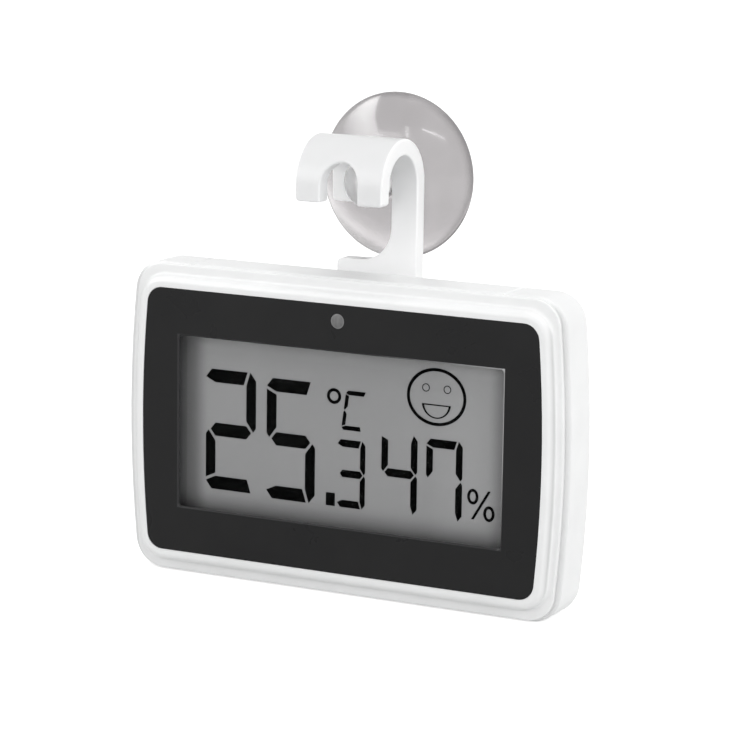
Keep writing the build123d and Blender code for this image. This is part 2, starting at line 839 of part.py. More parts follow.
def battery_sleeve():
    margin = 2 * cell_edge_round
    left = cell_left + margin
    right = cell_right - margin
    outer = bar(left, right, cell_depth, cell_height, cell_radius)
    inner_radius = cell_radius - sleeve_thickness
    return outer - bar(left - overrun, right + overrun, cell_depth, cell_height, inner_radius)


# Contact plates stand against the ends of the tub and reach up to the board
def contact_plate(side):
    ends = sorted((side * contact_face, side * (contact_face + contact_thickness)))
    body = block(*ends, cell_height - contact_half_width, cell_height + contact_half_width,
                 cell_depth - contact_half_width / 2, cell_depth + contact_half_width)
    foot_top = cell_height + tab_rise
    body += block(*ends, cell_height, foot_top, board_back + close_gap, board_back + 2 * tab_half_width)
    outer_end = contact_face + contact_thickness
    foot_ends = sorted((side * outer_end, side * (contact_face - 2 * tab_half_width)))
    return body + block(*foot_ends, cell_height + tub_outer_radius + fit_gap, foot_top,
                        board_back + close_gap, board_back + close_gap + contact_thickness)


def positive_contact():
    cap_end = cell_right + cell_cap_length + close_gap
    return contact_plate(1) + bar(cap_end, contact_face, cell_depth, cell_height, contact_dimple_radius)


def negative_contact():
    half = contact_leaf_width / 2
    rise = contact_leaf_rise
    inner_rise = rise - 2 * contact_thickness
    crown = cell_left - close_gap
    inner_crown = crown - contact_thickness
    leaf_face = make_face([
        ThreePointArc((-contact_face, -rise), (crown, 0), (-contact_face, rise)),
        Line((-contact_face, rise), (-contact_face, inner_rise)),
        ThreePointArc((-contact_face, inner_rise), (inner_crown, 0), (-contact_face, -inner_rise)),
        Line((-contact_face, -inner_rise), (-contact_face, -rise)),
    ])
    leaf = slab(Pos(0, cell_height) * leaf_face, cell_depth - half, cell_depth + half)
    return contact_plate(-1) + leaf


# Door over the battery: latch tongue above, two tabs below
def battery_door(outer):
    door = block(-door_half_length, door_half_length, door_bottom, door_top, door_front, case_depth)
    door += block(-door_latch_half_width, door_latch_half_width, door_top, door_top + door_latch_rise,
                  door_front, case_depth)
    door = door & outer
    for i in range(door_grip_count):
        height = door_top - door_latch_rise - i * door_grip_pitch
        door -= block(-door_latch_half_width, door_latch_half_width, height - door_grip_width / 2,
                      height + door_grip_width / 2, case_depth - door_grip_depth, case_depth + overrun)
    for side in (-1, 1):
        middle = side * door_tab_x
        left = middle - door_tab_half_width
        right = middle + door_tab_half_width
        root_top = door_bottom + door_tab_root
        door += block(left, right, door_bottom, root_top, door_tab_front, door_front)
        door += block(left, right, door_bottom - door_tab_reach, root_top,
                      door_tab_front, door_tab_front + door_tab_thickness)
    return door


# Push buttons with the switch plungers that they press
def button(height):
    top = case_depth + button_stand_out
    cap = disc(button_x, height, button_radius, button_flange_back, top)
    cap = fillet(loop_at(cap, top), button_round)
    dish = Pos(button_x, top + button_dish_radius - button_dish_depth - case_depth / 2, height + half_height)
    cap -= dish * Sphere(button_dish_radius)
    flange_radius = button_radius + button_flange
    return cap + disc(button_x, height, flange_radius, button_flange_front, button_flange_back)


def plunger(height):
    return disc(button_x, height, plunger_radius, switch_back - plunger_depth, button_flange_front)


def switch_housings():
    half = switch_size / 2
    housings = []
    for height in button_heights:
        body = block(button_x - half, button_x + half, height - half, height + half, board_back, switch_back)
        body -= disc(button_x, height, plunger_radius + plunger_gap,
                     switch_back - plunger_depth - 2 * button_travel, switch_back + overrun)
        housings.append(body)
    return group(housings)


def selector_body():
    reach_x = selector_body_width / 2
    reach_z = selector_body_length / 2
    middle = selector_height + selector_travel / 2
    back = board_back + selector_body_depth
    body = block(selector_x - reach_x, selector_x + reach_x, middle - reach_z, middle + reach_z,
                 board_back, back)
    slot_half = selector_stem_length / 2 + selector_gap
    slot_reach = selector_stem_width / 2 + selector_gap
    return body - block(selector_x - slot_reach, selector_x + slot_reach, selector_height - slot_half,
                        selector_height + slot_half + selector_travel, back - selector_body_depth / 2,
                        back + overrun)


def selector_knob():
    start = board_back + selector_body_depth / 2 + selector_gap
    reach_x = selector_stem_width / 2
    reach_z = selector_stem_length / 2
    stem = block(selector_x - reach_x, selector_x + reach_x, selector_height - reach_z,
                 selector_height + reach_z, start, inner_back)
    reach_x = selector_knob_width / 2
    reach_z = selector_knob_length / 2
    return stem + block(selector_x - reach_x, selector_x + reach_x, selector_height - reach_z,
                        selector_height + reach_z, inner_back - overrun, case_depth + selector_stand_out)


# Hanger: a plate in the channel, a stem up one side, and an arch over to a short front leg
def hanger():
    width = 2 * hanger_half_width
    inner_radius = arch_outer_radius - hanger_thickness
    centre = Pos(arch_depth, arch_height)
    ring = Circle(arch_outer_radius) - Circle(inner_radius)
    upper = rect(-arch_outer_radius, arch_outer_radius, 0, arch_outer_radius)
    profile = centre * (ring & upper)
    profile += rect(arch_depth - arch_outer_radius, arch_depth - inner_radius, hanger_front_bottom,
                    arch_height)
    arch = extrude(side_plane(-hanger_half_width) * profile, amount=width)
    corners = [e for e in arch.edges().filter_by(Axis.Y)
               if e.center().Z - half_height < hanger_front_bottom + fit_gap]
    arch = fillet(corners, hanger_corner_round)
    stem_left = notch_radius
    points = [
        (-hanger_half_width, arch_height), (-hanger_half_width, hanger_tab_bottom),
        (stem_left, hanger_tab_bottom), (stem_left, plate_top), (plate_left, plate_top),
        (plate_left, plate_bottom), (plate_right, plate_bottom), (plate_right, arch_height),
    ]
    leg_face = make_face(Polyline(*points, close=True))
    flare = leg_face.vertices().sort_by_distance((stem_left, plate_top))[0]
    leg_face = fillet(flare, flare_radius)
    shoulder = leg_face.vertices().sort_by_distance((plate_left, plate_top))[0]
    leg_face = fillet(shoulder, plate_corner_round)
    tab = leg_face.vertices().sort_by_distance((-hanger_half_width, hanger_tab_bottom))[0]
    leg_face = fillet(tab, hanger_corner_round)
    body = arch + slab(leg_face, leg_front, leg_back)
    notches = [
        (front_notch_radius, front_notch_height, -overrun, arch_depth - inner_radius / 2),
        (notch_radius, arch_height, arch_depth, leg_back + overrun),
    ]
    for radius, height, front, back in notches:
        body -= disc(0, height, radius, front, back)
        body -= block(-radius, radius, hanger_tab_bottom - overrun, height, front, back)
    front_y = arch_depth - arch_outer_radius - case_depth / 2
    mouth_edges = [e for e in body.edges()
                   if abs(e.center().X) < front_notch_radius + close_gap
                   and e.center().Y < front_y + hanger_thickness / 2
                   and e.center().Z - half_height > hanger_front_bottom + hanger_corner_round]
    body = fillet(mouth_edges, front_notch_round)
    sides = [e for e in body.edges()
             if abs(abs(e.center().X) - hanger_half_width) < close_gap
             and abs(e.bounding_box().size.X) < close_gap
             and e.center().Z - half_height > plate_top]
    body = fillet(sides, hanger_edge_round)
    for left, right in ((plate_left - overrun, plate_left + tongue_width),
                        (plate_right - tongue_width, plate_right + overrun)):
        body -= block(left, right, plate_bottom - overrun, tongue_top, tongue_back, leg_back + overrun)
    return body


# Suction cup: head between the hanger's legs, neck in its notch, and the dome behind
def suction_cup():
    neck = notch_radius - neck_gap
    head_back = leg_front - neck_bare_length
    head_front = head_back - head_taper - head_thickness
    dome_start = leg_back + cup_clearance
    middle_radius = (cup_shoulder_radius + cup_rim_radius) / 2
    middle_depth = (dome_start + cup_rim_depth) / 2
    bulge = cup_bulge_share * (cup_rim_depth - dome_start)
    inner_apex = dome_start + cup_centre_thickness
    rim_inner = cup_rim_radius - cup_rim_thickness
    hollow_reach = cup_hollow_reach_share * rim_inner
    hollow_depth = inner_apex + cup_hollow_rise_share * (cup_rim_depth - inner_apex)
    profile = make_face([
        Polyline((0, inner_apex), (0, head_front), (head_radius, head_front),
                 (head_radius, head_back - head_taper), (neck, head_back), (neck, dome_start),
                 (cup_shoulder_radius, dome_start)),
        ThreePointArc((cup_shoulder_radius, dome_start), (middle_radius + bulge, middle_depth - bulge),
                      (cup_rim_radius, cup_rim_depth)),
        Line((cup_rim_radius, cup_rim_depth), (rim_inner, cup_rim_depth)),
        ThreePointArc((rim_inner, cup_rim_depth), (hollow_reach, hollow_depth),
                      (cup_flat_radius, inner_apex)),
        Line((cup_flat_radius, inner_apex), (0, inner_apex)),
    ])
    head_corner = profile.vertices().sort_by_distance((head_radius, head_front))[0]
    profile = fillet(head_corner, head_round)
    cup = revolve(profile, Axis.Y)
    return Pos(0, -case_depth / 2, arch_height + half_height) * cup


os.makedirs("parts", exist_ok=True)
outer_form = outer_body()
inner_form = inner_body()
pieces = {
    "front_shell": front_shell(),
    "back_shell": back_shell(outer_form, inner_form),
    "front_panel": front_panel(),
    "window_pane": window_pane(),
    "lcd_front_glass": front_glass(),
    "lcd_marks": display_marks(),
    "lcd_rear_glass": rear_glass(),
    "lcd_reflector": reflector(),
    "lcd_connector": connector(),
    "lcd_holder": display_holder(),
    "alarm_lamp": lamp(),
    "lamp_leads": lamp_leads(),
    "circuit_board": circuit_board(),
    "board_chip": board_chip(),
    "clock_crystal": crystal(),
    "air_sensor": air_sensor(),
    "board_passives": passives(),
    "switch_housings": switch_housings(),
    "selector_body": selector_body(),
    "selector_knob": selector_knob(),
    "board_screws": board_screws(),
    "case_screws": case_screws(),
    "battery_cell": battery_cell(),
    "battery_sleeve": battery_sleeve(),
    "contact_positive": positive_contact(),
    "contact_negative": negative_contact(),
    "battery_door": battery_door(outer_form),
    "hanger": hanger(),
    "suction_cup": suction_cup(),
}
for number, place in enumerate(button_heights, start=1):
    pieces["button_" + str(number)] = button(place)
    pieces["plunger_" + str(number)] = plunger(place)
for piece_name, piece in pieces.items():
    save(piece, piece_name)
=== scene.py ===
from collections import namedtuple
from math import cos, pi, radians, sin

import bmesh
import bpy
from mathutils import Matrix, Vector


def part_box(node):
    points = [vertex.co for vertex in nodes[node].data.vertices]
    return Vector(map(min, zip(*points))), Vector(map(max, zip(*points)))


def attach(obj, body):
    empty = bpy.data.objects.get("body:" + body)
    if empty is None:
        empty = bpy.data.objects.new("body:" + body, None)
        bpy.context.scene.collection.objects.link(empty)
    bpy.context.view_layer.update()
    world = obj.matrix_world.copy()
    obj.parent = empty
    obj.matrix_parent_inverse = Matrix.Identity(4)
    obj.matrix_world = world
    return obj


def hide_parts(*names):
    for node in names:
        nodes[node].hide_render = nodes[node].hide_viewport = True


# Looks of the room sensor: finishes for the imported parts, a modelled suction cup, the floor, the lights and
# the camera. Lengths are in metres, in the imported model's frame: +X right, +Y back and +Z up.

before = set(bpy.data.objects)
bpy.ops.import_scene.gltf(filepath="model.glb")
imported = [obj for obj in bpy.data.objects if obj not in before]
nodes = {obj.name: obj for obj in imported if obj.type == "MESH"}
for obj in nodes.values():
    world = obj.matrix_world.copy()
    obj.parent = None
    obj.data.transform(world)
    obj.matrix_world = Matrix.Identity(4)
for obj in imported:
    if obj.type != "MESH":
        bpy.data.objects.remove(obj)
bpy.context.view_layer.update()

MM = 0.001
shell_low, shell_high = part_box("back_shell")
front_low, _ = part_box("front_shell")
cup_low, cup_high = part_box("suction_cup")
_, hanger_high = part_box("hanger")
lamp_low, lamp_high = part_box("alarm_lamp")
display_low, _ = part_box("lcd_rear_glass")
pane_low, pane_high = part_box("window_pane")

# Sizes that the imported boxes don't give
HANGER_THICKNESS = 3.3 * MM
PANE_MARGIN = 1.9 * MM
WINDOW_BEVEL = 0.3 * MM
LAMP_RADIUS = 1.5 * MM

# Places worked out from the boxes
casing_middle_z = (shell_low.z + shell_high.z) / 2
cup_radius = (cup_high.x - cup_low.x) / 2
cup_middle_x = (cup_low.x + cup_high.x) / 2
cup_middle_z = (cup_low.z + cup_high.z) / 2
lamp_middle_z = (lamp_low.z + lamp_high.z) / 2
leg_front_y = hanger_high.y - HANGER_THICKNESS
leg_back_y = hanger_high.y
window_half_width = pane_high.x - PANE_MARGIN
window_half_height = (pane_high.z - pane_low.z) / 2 - PANE_MARGIN
window_middle_z = (pane_high.z + pane_low.z) / 2
window_top_z = window_middle_z + window_half_height

# A noise pattern: size of its spots, detail, stretch along X, Y and Z, and distortion
Pattern = namedtuple("Pattern", "size detail stretch distortion", defaults=(None, 0.0))
NOISE_USUAL = (0.3, 0.7)

BLACK = (0.0, 0.0, 0.0)


class Nodes:
    """Short ways to add and join shader nodes in one tree."""

    def __init__(self, tree):
        self.tree = tree

    def add(self, kind, **settings):
        node = self.tree.nodes.new(kind)
        for name, value in settings.items():
            setattr(node, name, value)
        return node

    def join(self, source, target):
        self.tree.links.new(source, target)

    def feed(self, value, socket):
        """Joins a socket's value to socket, or sets a plain number or colour there."""
        if isinstance(value, bpy.types.NodeSocket):
            self.join(value, socket)
        elif isinstance(value, tuple):
            socket.default_value = (*value, 1)
        else:
            socket.default_value = value

    def place(self):
        return self.add("ShaderNodeTexCoord").outputs["Object"]

    def split(self, vector):
        node = self.add("ShaderNodeSeparateXYZ")
        self.join(vector, node.inputs["Vector"])
        return node.outputs

    def noise(self, pattern):
        """Noise from 0 to 1 in the given Pattern."""
        node = self.add("ShaderNodeTexNoise")
        node.inputs["Scale"].default_value = 1 / pattern.size
        node.inputs["Detail"].default_value = pattern.detail
        node.inputs["Distortion"].default_value = pattern.distortion
        where = self.place()
        if pattern.stretch is not None:
            mapping = self.add("ShaderNodeMapping")
            mapping.inputs["Scale"].default_value = pattern.stretch
            self.join(where, mapping.inputs["Vector"])
            where = mapping.outputs["Vector"]
        self.join(where, node.inputs["Vector"])
        return node.outputs["Fac"]

    def ramp(self, value, start, end, low=0.0, high=1.0, smooth=False):
        """Goes from low, where value is at start, to high, where it is at end."""
        node = self.add("ShaderNodeMapRange")
        if smooth:
            node.interpolation_type = "SMOOTHSTEP"
        node.inputs["From Min"].default_value = start
        node.inputs["From Max"].default_value = end
        node.inputs["To Min"].default_value = low
        node.inputs["To Max"].default_value = high
        self.join(value, node.inputs["Value"])
        return node.outputs["Result"]

    def spread(self, noise, low=0.0, high=1.0):
        """Stretches a noise's usual range to low..high."""
        return self.ramp(noise, *NOISE_USUAL, low, high)

    def math(self, kind, *values):
        node = self.add("ShaderNodeMath", operation=kind)
        for socket, value in zip(node.inputs, values):
            self.feed(value, socket)
        return node.outputs[0]

    def plus(self, first, second):
        return self.math("ADD", first, second)

    def minus(self, first, second):
        return self.math("SUBTRACT", first, second)

    def times(self, first, second):
        return self.math("MULTIPLY", first, second)

    def larger(self, first, second):
        return self.math("MAXIMUM", first, second)

    def gap(self, value, mark=0.0):
        """How far value is from mark, on either side."""
        return self.math("ABSOLUTE", self.minus(value, mark))

    def radius(self, across, up):
        """How far a place is from the middle that across and up are measured from."""
        return self.math("SQRT", self.plus(self.times(across, across), self.times(up, up)))

    def blend(self, factor, first, second):
        """A colour between first and second, which are colours or sockets."""
        node = self.add("ShaderNodeMix", data_type="RGBA", clamp_factor=False)
        self.join(factor, node.inputs["Factor"])
        colours = [socket for socket in node.inputs if socket.type == "RGBA"]
        self.feed(first, colours[0])
        self.feed(second, colours[1])
        return next(socket for socket in node.outputs if socket.type == "RGBA")

    def bump(self, height, depth, before=None):
        """A bump whose full swing is depth metres."""
        node = self.add("ShaderNodeBump")
        node.inputs["Strength"].default_value = 1
        node.inputs["Distance"].default_value = depth
        self.join(height, node.inputs["Height"])
        if before is not None:
            self.join(before, node.inputs["Normal"])
        return node.outputs["Normal"]


class Finish(Nodes):
    """A new material with its nodes and its shader."""

    def __init__(self, name):
        self.material = bpy.data.materials.new(name)
        self.material.use_nodes = True
        super().__init__(self.material.node_tree)
        self.shader = self.tree.nodes["Principled BSDF"]

    def set(self, **inputs):
        """Sets or joins the shader's inputs, whose names have _ for each space here."""
        for name, value in inputs.items():
            self.feed(value, self.shader.inputs[name.replace("_", " ")])


def shade(colour, factor):
    return tuple(min(1.0, part * factor) for part in colour)


# Moulded plastic: cloudiness of its colour, rubbing marks in its sheen, fine grain and slow waves
CLOUD = Pattern(9 * MM, 4)
CLOUD_SWING = 0.02
RUB = Pattern(5 * MM, 6, (1, 1, 3))
RUB_POLISH = 0.05
RUB_SCUFF = 0.06
GRAIN = Pattern(0.35 * MM, 2)
GRAIN_DEPTH = 0.006 * MM
WAVES = Pattern(14 * MM, 1)
WAVE_DEPTH = 0.05 * MM
SCATTER_SCALE = 1.2 * MM
POTTING_DEPTH = 0.02 * MM


def clouded(f, colour):
    return f.blend(f.spread(f.noise(CLOUD)), shade(colour, 1 - CLOUD_SWING), shade(colour, 1 + CLOUD_SWING))


def mould_surface(f, roughness, depth=GRAIN_DEPTH):
    f.set(Roughness=f.spread(f.noise(RUB), roughness - RUB_POLISH, roughness + RUB_SCUFF))
    f.set(Normal=f.bump(f.noise(GRAIN), depth, f.bump(f.noise(WAVES), WAVE_DEPTH)))


def scatter_light(f, weight):
    """Lets light soak into the plastic, evenly for all colours."""
    f.set(Subsurface_Weight=weight, Subsurface_Scale=SCATTER_SCALE)
    f.shader.inputs["Subsurface Radius"].default_value = (1.0, 1.0, 1.0)


def moulded(name, colour, roughness, depth=GRAIN_DEPTH):
    f = Finish(name)
    f.set(Base_Color=clouded(f, colour))
    mould_surface(f, roughness, depth)
    return f.material


# Plated or drawn metal: tarnish in patches, and streaks along X
TARNISH = Pattern(2.5 * MM, 5)
TARNISH_DARK = 0.86
TARNISH_BRIGHT = 1.05
STREAKS = Pattern(0.6 * MM, 3, (1, 12, 12))
STREAK_POLISH = 0.07
STREAK_SCUFF = 0.1
STREAK_DEPTH = 0.004 * MM


def metal(name, colour, roughness):
    f = Finish(name)
    tarnish = f.spread(f.noise(TARNISH))
    f.set(Base_Color=f.blend(tarnish, shade(colour, TARNISH_DARK), shade(colour, TARNISH_BRIGHT)))
    streaks = f.noise(STREAKS)
    f.set(Roughness=f.spread(streaks, roughness - STREAK_POLISH, roughness + STREAK_SCUFF))
    f.set(Normal=f.bump(streaks, STREAK_DEPTH), Metallic=1)
    return f.material


# Clear sheets, which show what is behind them and have a bloomed surface that reflects little
SHEET_ALPHA = 0.015
SHEET_HAZE = Pattern(12 * MM, 3)
SHEET_HAZE_SWING = 0.15
SHEET_SMUDGE = Pattern(7 * MM, 4, None, 0.6)
SHEET_ROUGHNESS = (0.04, 0.09)
SHEET_SPECULAR = 0.2


def clear(name, colour):
    f = Finish(name)
    thin = SHEET_ALPHA * (1 - SHEET_HAZE_SWING)
    thick = SHEET_ALPHA * (1 + SHEET_HAZE_SWING)
    f.set(Alpha=f.spread(f.noise(SHEET_HAZE), thin, thick), Base_Color=colour)
    f.set(Roughness=f.spread(f.noise(SHEET_SMUDGE), *SHEET_ROUGHNESS), Specular_IOR_Level=SHEET_SPECULAR)
    return f.material


# The casing's white plastic. At its two ends, painted shade greys the valley behind its front frame, and its
# seam
CASING_WHITE = (0.845, 0.85, 0.85)
CASING_ROUGHNESS = 0.42
CASING_SCATTER = 0.12
VALLEY_Y = front_low.y + 0.85 * MM
VALLEY_SHADE = 0.27
SEAM_Y = shell_low.y
SEAM_SHADE = 0.12
SHADE_FULL = 0.1 * MM
VALLEY_REACH = 0.75 * MM
SEAM_REACH = 0.45 * MM
SHADE_FROM_X = shell_high.x - 5 * MM
SHADE_TO_X = shell_high.x - 3.4 * MM


def casing_plastic():
    f = Finish("casing_white")
    x, y, _ = f.split(f.place())
    # Painted shade: darkens the valley behind the front frame and the seam, at the casing's two ends
    valley = f.ramp(f.gap(y, VALLEY_Y), SHADE_FULL, VALLEY_REACH, VALLEY_SHADE, 0)
    seam = f.ramp(f.gap(y, SEAM_Y), SHADE_FULL, SEAM_REACH, SEAM_SHADE, 0)
    at_end = f.ramp(f.gap(x), SHADE_FROM_X, SHADE_TO_X)
    painted_shade = f.times(f.larger(valley, seam), at_end)
    f.set(Base_Color=f.blend(painted_shade, clouded(f, CASING_WHITE), BLACK))
    mould_surface(f, CASING_ROUGHNESS)
    scatter_light(f, CASING_SCATTER)
    return f.material


# The dark printed panel: satin ink with a fine orange-peel surface, and a painted highlight along the cut
# edge of its window, palest at the upper right
INK_CLOUD = Pattern(16 * MM, 3)
INK_DARK = (0.0105, 0.0105, 0.011)
INK_PALE = (0.0135, 0.0135, 0.0138)
INK_PEEL = Pattern(0.5 * MM, 2)
INK_PEEL_DEPTH = 0.004 * MM
INK_SMEAR = Pattern(11 * MM, 5, None, 0.8)
INK_ROUGHNESS = (0.26, 0.36)
INK_SPECULAR = 0.12
CUT_EDGE_UNLIT = (0.035, 0.035, 0.036)
CUT_EDGE_HIGHLIGHT = (0.42, 0.42, 0.425)
CUT_EDGE_BLUR = 0.03 * MM
HIGHLIGHT_FROM_X = 0.2 * window_half_width


def panel_print():
    f = Finish("panel_print")
    x, _, z = f.split(f.place())
    ink = f.blend(f.spread(f.noise(INK_CLOUD)), INK_DARK, INK_PALE)
    beside = f.minus(f.gap(x), window_half_width)
    above = f.minus(f.gap(z, window_middle_z), window_half_height)
    outside = f.larger(beside, above)
    # Painted highlight: a grey band along the window's cut edge, palest towards the upper right
    cut_edge = f.ramp(outside, WINDOW_BEVEL - CUT_EDGE_BLUR, WINDOW_BEVEL + CUT_EDGE_BLUR, 1, 0)
    rightward = f.ramp(x, HIGHLIGHT_FROM_X, window_half_width)
    upward = f.ramp(z, window_middle_z - window_half_height, window_middle_z)
    edge_highlight = f.blend(f.times(rightward, upward), CUT_EDGE_UNLIT, CUT_EDGE_HIGHLIGHT)
    f.set(Base_Color=f.blend(cut_edge, ink, edge_highlight), Specular_IOR_Level=INK_SPECULAR)
    f.set(Normal=f.bump(f.noise(INK_PEEL), INK_PEEL_DEPTH))
    f.set(Roughness=f.spread(f.noise(INK_SMEAR), *INK_ROUGHNESS))
    return f.material


# The display's grey field, with the tooth of its film. Its left, right and lower edges keep only part of the
# grey as painted shade, and its upper and right parts gain some as painted light
FIELD_GREY = (0.398, 0.4, 0.404)
FIELD_TOOTH = Pattern(0.12 * MM, 2)
FIELD_TOOTH_DEPTH = 0.003 * MM
FIELD_DRIFT = Pattern(30 * MM, 2)
FIELD_SWING = (0.98, 1.02)
FIELD_ROUGHNESS = 0.55
FIELD_SPECULAR = 0.2
SHADED_BORDER_KEEPS = 0.6
BORDER_FROM_X = window_half_width - 5.1 * MM
BORDER_TO_X = window_half_width - 1.4 * MM
SHADED_STRIP_KEEPS = 0.82
STRIP_FROM_X = window_half_width + 0.2 * MM
STRIP_TO_X = window_half_width + 0.5 * MM
SHADED_LOW_LOSES = 0.77
LOW_FROM_Z = display_low.z + 0.67 * MM
LOW_TO_Z = display_low.z + 6.2 * MM
LIT_TOP_GAINS = 1.25
TOP_FROM_Z = window_top_z - 3.5 * MM
LIT_RIGHT_GAINS = 1.25
RIGHT_FROM_X = 0.5 * window_half_width
RIGHT_TO_X = 0.95 * window_half_width


def display_field():
    f = Finish("display_field")
    x, _, z = f.split(f.place())
    # Painted shade at the left, right and lower edges, and painted light at the top and on the right
    side = f.gap(x)
    border = f.ramp(side, BORDER_FROM_X, BORDER_TO_X, 1, SHADED_BORDER_KEEPS, smooth=True)
    strip = f.ramp(side, STRIP_FROM_X, STRIP_TO_X, 1, SHADED_STRIP_KEEPS)
    loss = f.ramp(z, LOW_FROM_Z, LOW_TO_Z, SHADED_LOW_LOSES, 0)
    low = f.minus(1.0, f.times(loss, loss))
    top = f.ramp(z, TOP_FROM_Z, window_top_z, 1, LIT_TOP_GAINS)
    right = f.ramp(x, RIGHT_FROM_X, RIGHT_TO_X, 1, LIT_RIGHT_GAINS)
    painted_light_and_shade = f.times(f.times(border, strip), f.times(low, f.times(top, right)))
    tooth = f.noise(FIELD_TOOTH)
    grain = f.times(f.spread(tooth, *FIELD_SWING), f.spread(f.noise(FIELD_DRIFT), *FIELD_SWING))
    f.set(Base_Color=f.blend(f.times(painted_light_and_shade, grain), BLACK, FIELD_GREY))
    f.set(Normal=f.bump(tooth, FIELD_TOOTH_DEPTH))
    f.set(Roughness=FIELD_ROUGHNESS, Specular_IOR_Level=FIELD_SPECULAR)
    return f.material


# The display's figures
FIGURE_CLOUD = Pattern(3 * MM, 2)
FIGURE_DARK = (0.0005, 0.0006, 0.0006)
FIGURE_PALE = (0.0011, 0.0013, 0.0012)
FIGURE_ROUGHNESS = 0.6
FIGURE_SPECULAR = 0.02


def display_ink():
    f = Finish("display_ink")
    f.set(Base_Color=f.blend(f.spread(f.noise(FIGURE_CLOUD)), FIGURE_DARK, FIGURE_PALE))
    f.set(Roughness=FIGURE_ROUGHNESS, Specular_IOR_Level=FIGURE_SPECULAR)
    return f.material


# The lamp: a grey diffusing body with a paler rim, whose two posts show as faint upright stripes
LAMP_STRIPE_TURN = 4.5 / MM
LAMP_STRIPE_SHARE = 0.35
LAMP_CLOUD = Pattern(0.7 * MM, 3, (1.6, 1, 0.7))
LAMP_CLOUD_DEPTH = 0.01 * MM
LAMP_DARK = (0.125, 0.125, 0.126)
LAMP_PALE = (0.175, 0.175, 0.176)
LAMP_RIM = (0.22, 0.22, 0.221)
LAMP_RIM_FROM = LAMP_RADIUS - 0.3 * MM
LAMP_RIM_TO = LAMP_RADIUS - 0.1 * MM
LAMP_ROUGHNESS = 0.45
LAMP_SPECULAR = 0.2


def lamp_body():
    f = Finish("lamp_body")
    x, _, z = f.split(f.place())
    cloud = f.noise(LAMP_CLOUD)
    stripes = f.ramp(f.math("SINE", f.times(x, LAMP_STRIPE_TURN)), -1, 1, 0, LAMP_STRIPE_SHARE)
    inside = f.blend(f.plus(stripes, f.spread(cloud, 0, 1 - LAMP_STRIPE_SHARE)), LAMP_DARK, LAMP_PALE)
    rim = f.ramp(f.radius(x, f.minus(z, lamp_middle_z)), LAMP_RIM_FROM, LAMP_RIM_TO)
    f.set(Base_Color=f.blend(rim, inside, LAMP_RIM), Normal=f.bump(cloud, LAMP_CLOUD_DEPTH))
    f.set(Roughness=LAMP_ROUGHNESS, Specular_IOR_Level=LAMP_SPECULAR)
    return f.material


# The circuit board's solder mask over its weave
WEAVE = Pattern(0.4 * MM, 2, (1, 1, 4))
WEAVE_DEPTH = 0.01 * MM
MASK_DARK = (0.02, 0.11, 0.05)
MASK_PALE = (0.04, 0.19, 0.08)
MASK_ROUGHNESS = 0.3


def board_mask():
    f = Finish("board_mask")
    weave = f.noise(WEAVE)
    f.set(Base_Color=f.blend(f.spread(weave), MASK_DARK, MASK_PALE))
    f.set(Normal=f.bump(weave, WEAVE_DEPTH), Roughness=MASK_ROUGHNESS)
    return f.material


# The hanger: milky plastic that light soaks into, with painted shade greying it over the arch, and painted
# light paling its sides, foot and tab
MILK_CLOUD = Pattern(6 * MM, 3)
MILK_DARK = (0.79, 0.793, 0.797)
MILK_PALE = (0.82, 0.823, 0.827)
ARCH_SHADE_GREY = (0.74, 0.742, 0.745)
FOOT_AND_TAB_LIGHT = (0.93, 0.932, 0.935)
SIDE_LIGHT = (0.92, 0.922, 0.925)
MILK_FLOW = Pattern(4 * MM, 4, (1, 1, 0.4))
MILK_FLOW_DEPTH = 0.04 * MM
MILK_ROUGHNESS = (0.3, 0.42)
MILK_GRAIN = Pattern(0.5 * MM, 2)
MILK_SPECULAR = 0.35
MILK_SCATTER = 0.5
FOOT_PALE_Z = shell_high.z + 3 * MM
FOOT_END_Z = cup_middle_z - 3 * MM
TAB_PALE_X = -4.4 * MM
TAB_END_X = -3.6 * MM
TAB_FRONT_Y = leg_front_y - 0.5 * MM
SIDE_FROM_X = hanger_high.x - 0.45 * MM
SIDE_TO_X = hanger_high.x - 0.1 * MM


def hanger_plastic():
    f = Finish("hanger_milky")
    x, y, z = f.split(f.place())
    face = f.blend(f.spread(f.noise(MILK_CLOUD)), MILK_DARK, MILK_PALE)
    # Painted shade over the arch, and painted light on the foot, the tab and the sides
    face = f.blend(f.ramp(z, cup_middle_z, hanger_high.z), face, ARCH_SHADE_GREY)
    foot = f.ramp(z, FOOT_PALE_Z, FOOT_END_Z, 1, 0)
    tab = f.times(f.ramp(x, TAB_PALE_X, TAB_END_X, 1, 0), f.ramp(y, TAB_FRONT_Y, leg_front_y))
    face = f.blend(f.larger(foot, tab), face, FOOT_AND_TAB_LIGHT)
    f.set(Base_Color=f.blend(f.ramp(f.gap(x), SIDE_FROM_X, SIDE_TO_X), face, SIDE_LIGHT))
    flow = f.noise(MILK_FLOW)
    f.set(Roughness=f.spread(flow, *MILK_ROUGHNESS), Specular_IOR_Level=MILK_SPECULAR)
    f.set(Normal=f.bump(f.noise(MILK_GRAIN), GRAIN_DEPTH, f.bump(flow, MILK_FLOW_DEPTH)))
    scatter_light(f, MILK_SCATTER)
    return f.material


# Suction cup: sizes of its profile
CUP_TURNS = 160
CUP_HEAD = 5.05 * MM
CUP_NECK = 3.85 * MM
CUP_NECK_BARE = 1.5 * MM
CUP_SHOULDER = 6.0 * MM
CUP_CLEARANCE = 0.3 * MM
CUP_CENTRE_THICKNESS = 2.3 * MM
CUP_FLAT = 3.0 * MM
CUP_LIP = 0.55 * MM
CUP_FILLET = 0.15 * MM
CUP_DIMPLE = 0.35 * MM

